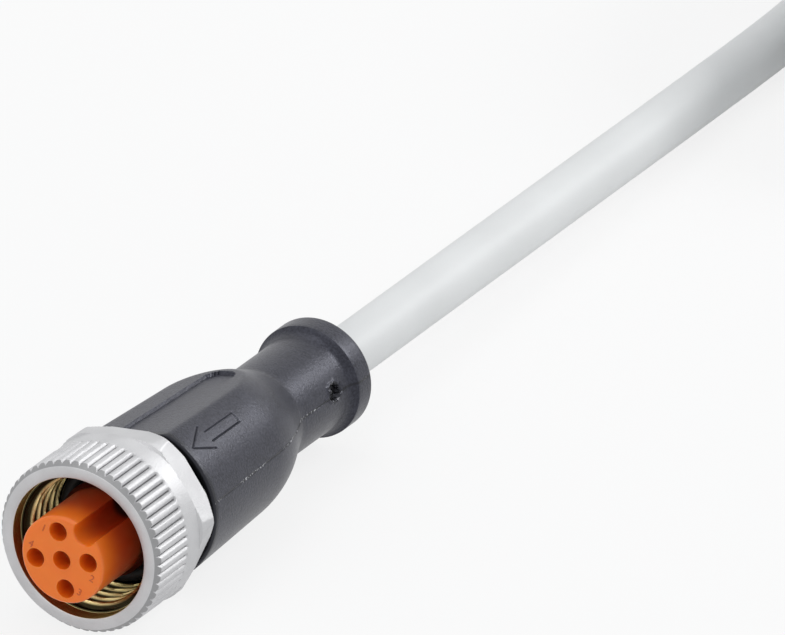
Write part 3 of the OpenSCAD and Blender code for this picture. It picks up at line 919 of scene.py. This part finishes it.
# Rows are closer at the arrow, the panel's round end and the gate
extra = np.concatenate([np.arange(10.9, 19, 0.09), np.arange(24, 24.8, 0.1), np.arange(33.5, 35.8, 0.1)])
first, last = np.flatnonzero((outline[:, 1] > 10.5) & (outline[:, 1] < 36.2))[[0, -1]]
body = outline[first:last + 1]
middle = np.unique(np.round(np.concatenate([body[:, 1], extra]), 4))
middle = middle[np.concatenate([[True], np.diff(middle) > 0.04])]
middle = np.column_stack([np.interp(middle, body[:, 1], body[:, 0]), middle])
outline = np.vstack([outline[:first], middle, outline[last + 1:]])
z_rows, a_rows = np.meshgrid(outline[:, 1], grip_columns, indexing="ij")
r_rows = np.broadcast_to(outline[:, :1], z_rows.shape)
shaped = grip_radius(r_rows, z_rows, a_rows)
# The front face stays flat inside its edge, and the rear face stays flat
weight = np.clip((outline[:, :1] - 5.25) / 0.3, 0, 1)
weight = np.where(outline[:, 1:] > 11, 1, weight)
weight = np.where(outline[:, 1:] > grip_end - 0.31, 0, weight)
shaped = r_rows + (shaped - r_rows) * weight
grip_inside = np.array([
    (2.36, grip_end), (2.36, 23.52), (3.42, 23.52), (3.42, 20.82), (4.42, 20.02), (4.42, 16.42),
    (5.32, 16.42), (5.32, 14.98), (4.62, 14.98), (4.62, 13.42), (5.42, 13.42), (5.42, 11.98),
    (4.87, 11.98), (4.87, grip_start),
])
grip_r = np.vstack([shaped, np.repeat(grip_inside[:, :1], len(grip_columns), 1)])
grip_z = np.vstack([z_rows, np.repeat(grip_inside[:, 1:], len(grip_columns), 1)])
grip_finish = make_finish(
    "grip_plastic", (0.040, 0.041, 0.054), (0.005, 0.005, 0.009), 0.34, 0.2, 0.034, patch=2, speckle=0.8,
    Specular_Tint=(0.76, 0.78, 0.92, 1),
)


def spoke(angle):
    """Unit vectors of the frame: outwards at an angle about the axis, and across it."""
    a = np.radians(angle)
    return np.cos(a) * up + np.sin(a) * side, np.cos(a) * side - np.sin(a) * up


def near_line(tree, off, angle, low, high):
    """1 close to the radial plane at an angle, 0 beyond high mm from it or behind the axis."""
    outward, across = spoke(angle)
    away = add_node(tree, "ShaderNodeMath", [(0, along_axis(tree, off, across))], operation="ABSOLUTE")
    reach = band(tree, along_axis(tree, off, outward), 1, 2, 0, 1)
    return times(tree, band(tree, away.outputs[0], low, high, 1, 0), reach)


def flecks(tree, off, scale, detail, low, high):
    """Noise that is 0 below low and 1 above high."""
    noise = add_node(tree, "ShaderNodeTexNoise", [("Vector", off)], Scale=scale, Detail=detail)
    fleck = add_node(
        tree, "ShaderNodeMapRange", [("Value", noise.outputs["Fac"])], From_Min=low, From_Max=high,
    )
    return fleck.outputs["Result"]


def shade_grip(finish):
    """Paints shade by place: the nut's shadow on the band behind it, and dark shade on
    the parting line and in the gate's pit; and paints bright glints along the line
    and in the gate."""
    tree = finish.node_tree
    shader = tree.nodes["Principled BSDF"]
    plain = shader.inputs["Base Color"].links[0].from_socket
    dull = shader.inputs["Roughness"].links[0].from_socket
    off, height = place_on_axis(tree)
    # Painted shade: the parting line and the gate's pit are turned near black.
    seam = near_line(tree, off, parting_angle, 0.07, 0.14)
    gate_middle = spoke(gate_angle)[0] * gate_r + along * gate_z
    gate = add_node(tree, "ShaderNodeVectorMath", [(0, off)], operation="DISTANCE")
    gate.inputs[1].default_value = gate_middle * mm
    gate = band(tree, gate.outputs["Value"], 0.8, 0.95, 1, 0)
    seam_and_gate = combine(tree, "MAXIMUM", seam, gate)
    # Painted shadow: the band just behind the nut is turned near black, as the nut's shadow.
    nut_shadow = band(tree, height, grip_start + 0.35, grip_start + 0.8, 1, 0)
    tint = mixed(tree, combine(tree, "MAXIMUM", seam_and_gate, nut_shadow), plain, (0.002, 0.002, 0.002))
    # Painted highlights: light grey glints scattered along the parting line and in the gate.
    glints = times(tree, flecks(tree, off, 4200.0, 2.0, 0.54, 0.62), seam_and_gate)
    glints = times(tree, glints, flecks(tree, off, 420.0, 1.0, 0.45, 0.56))
    tree.links.new(mixed(tree, glints, tint, (0.45, 0.45, 0.47)), shader.inputs["Base Color"])
    gloss = add_node(tree, "ShaderNodeMix", [(0, gate), (2, dull)], data_type="FLOAT", B=0.2)
    tree.links.new(gloss.outputs[0], shader.inputs["Roughness"])


shade_grip(grip_finish)
grip = make_piece(
    "grip", polar(grip_r, grip_z, grip_columns), [wrap_faces(len(grip_r), len(grip_columns), True)],
    grip_finish, "plug", sharp=38,
)
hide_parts("grip_body")

# ---------------------------------------------------------------- surface and light
# A plain white surface that runs on past every view. Soft lamps stand behind to the
# right, above and in front.

def background_rays(tree):
    """1 for rays from the camera and for those that metal or glass sends on."""
    rays = tree.nodes.new("ShaderNodeLightPath")
    seen = combine(tree, "MAXIMUM", rays.outputs["Is Camera Ray"], rays.outputs["Is Transmission Ray"])
    return combine(tree, "MAXIMUM", seen, rays.outputs["Is Glossy Ray"])


# White where it is seen, but for the share of the matte floor that keeps the shadow
shadow_share = 0.18
floor_finish = bpy.data.materials.new("surface")
floor_finish.use_nodes = True
tree = floor_finish.node_tree
tree.nodes.clear()
result = tree.nodes.new("ShaderNodeOutputMaterial")
matte = add_node(tree, "ShaderNodeBsdfDiffuse", Color=(0.8, 0.8, 0.8, 1))
white = add_node(tree, "ShaderNodeEmission", Color=(1, 1, 1, 1))
seen = add_node(tree, "ShaderNodeMath", [(0, background_rays(tree))], operation="MULTIPLY")
seen.inputs[1].default_value = 1 - shadow_share
choose = add_node(
    tree, "ShaderNodeMixShader", [(0, seen.outputs[0]), (1, matte.outputs[0]), (2, white.outputs[0])],
)
tree.links.new(choose.outputs[0], result.inputs["Surface"])
floor_mesh = bpy.data.meshes.new("surface")
reach = 4
floor_corners = [(-reach, -reach, 0), (reach, -reach, 0), (reach, reach, 0), (-reach, reach, 0)]
floor_mesh.from_pydata(floor_corners, [], [(0, 1, 2, 3)])
floor_mesh.materials.append(floor_finish)
floor = bpy.data.objects.new("surface", floor_mesh)
bpy.context.scene.collection.objects.link(floor)

world = bpy.data.worlds.new("surroundings")
world.use_nodes = True
tree = world.node_tree
soft = tree.nodes["Background"]
soft.inputs["Color"].default_value = (0.96, 0.98, 1, 1)
soft.inputs["Strength"].default_value = 0.58
clear = add_node(tree, "ShaderNodeBackground", Color=(1, 1, 1, 1))
choose = add_node(
    tree, "ShaderNodeMixShader",
    [(0, background_rays(tree)), (1, soft.outputs[0]), (2, clear.outputs[0])],
)
tree.links.new(choose.outputs[0], tree.nodes["World Output"].inputs["Surface"])
bpy.context.scene.world = world

subject = np.array([0.0, 0.005, 0.008])
lamps = [
    ("key", (0.30, 0.41, 0.34), 0.22, 1.35),
    ("above", (-0.10, 0.05, 0.50), 0.30, 0.4),
    ("front", (-0.12, -0.45, 0.25), 0.30, 0.4),
]
for name, place, size, power in lamps:
    lamp = bpy.data.lights.new(name, "AREA")
    lamp.size = size
    lamp.energy = power
    lamp_piece = bpy.data.objects.new(name, lamp)
    lamp_piece.location = place
    aimed = Vector(subject) - Vector(place)
    lamp_piece.rotation_euler = aimed.to_track_quat("-Z", "Y").to_euler()
    bpy.context.scene.collection.objects.link(lamp_piece)
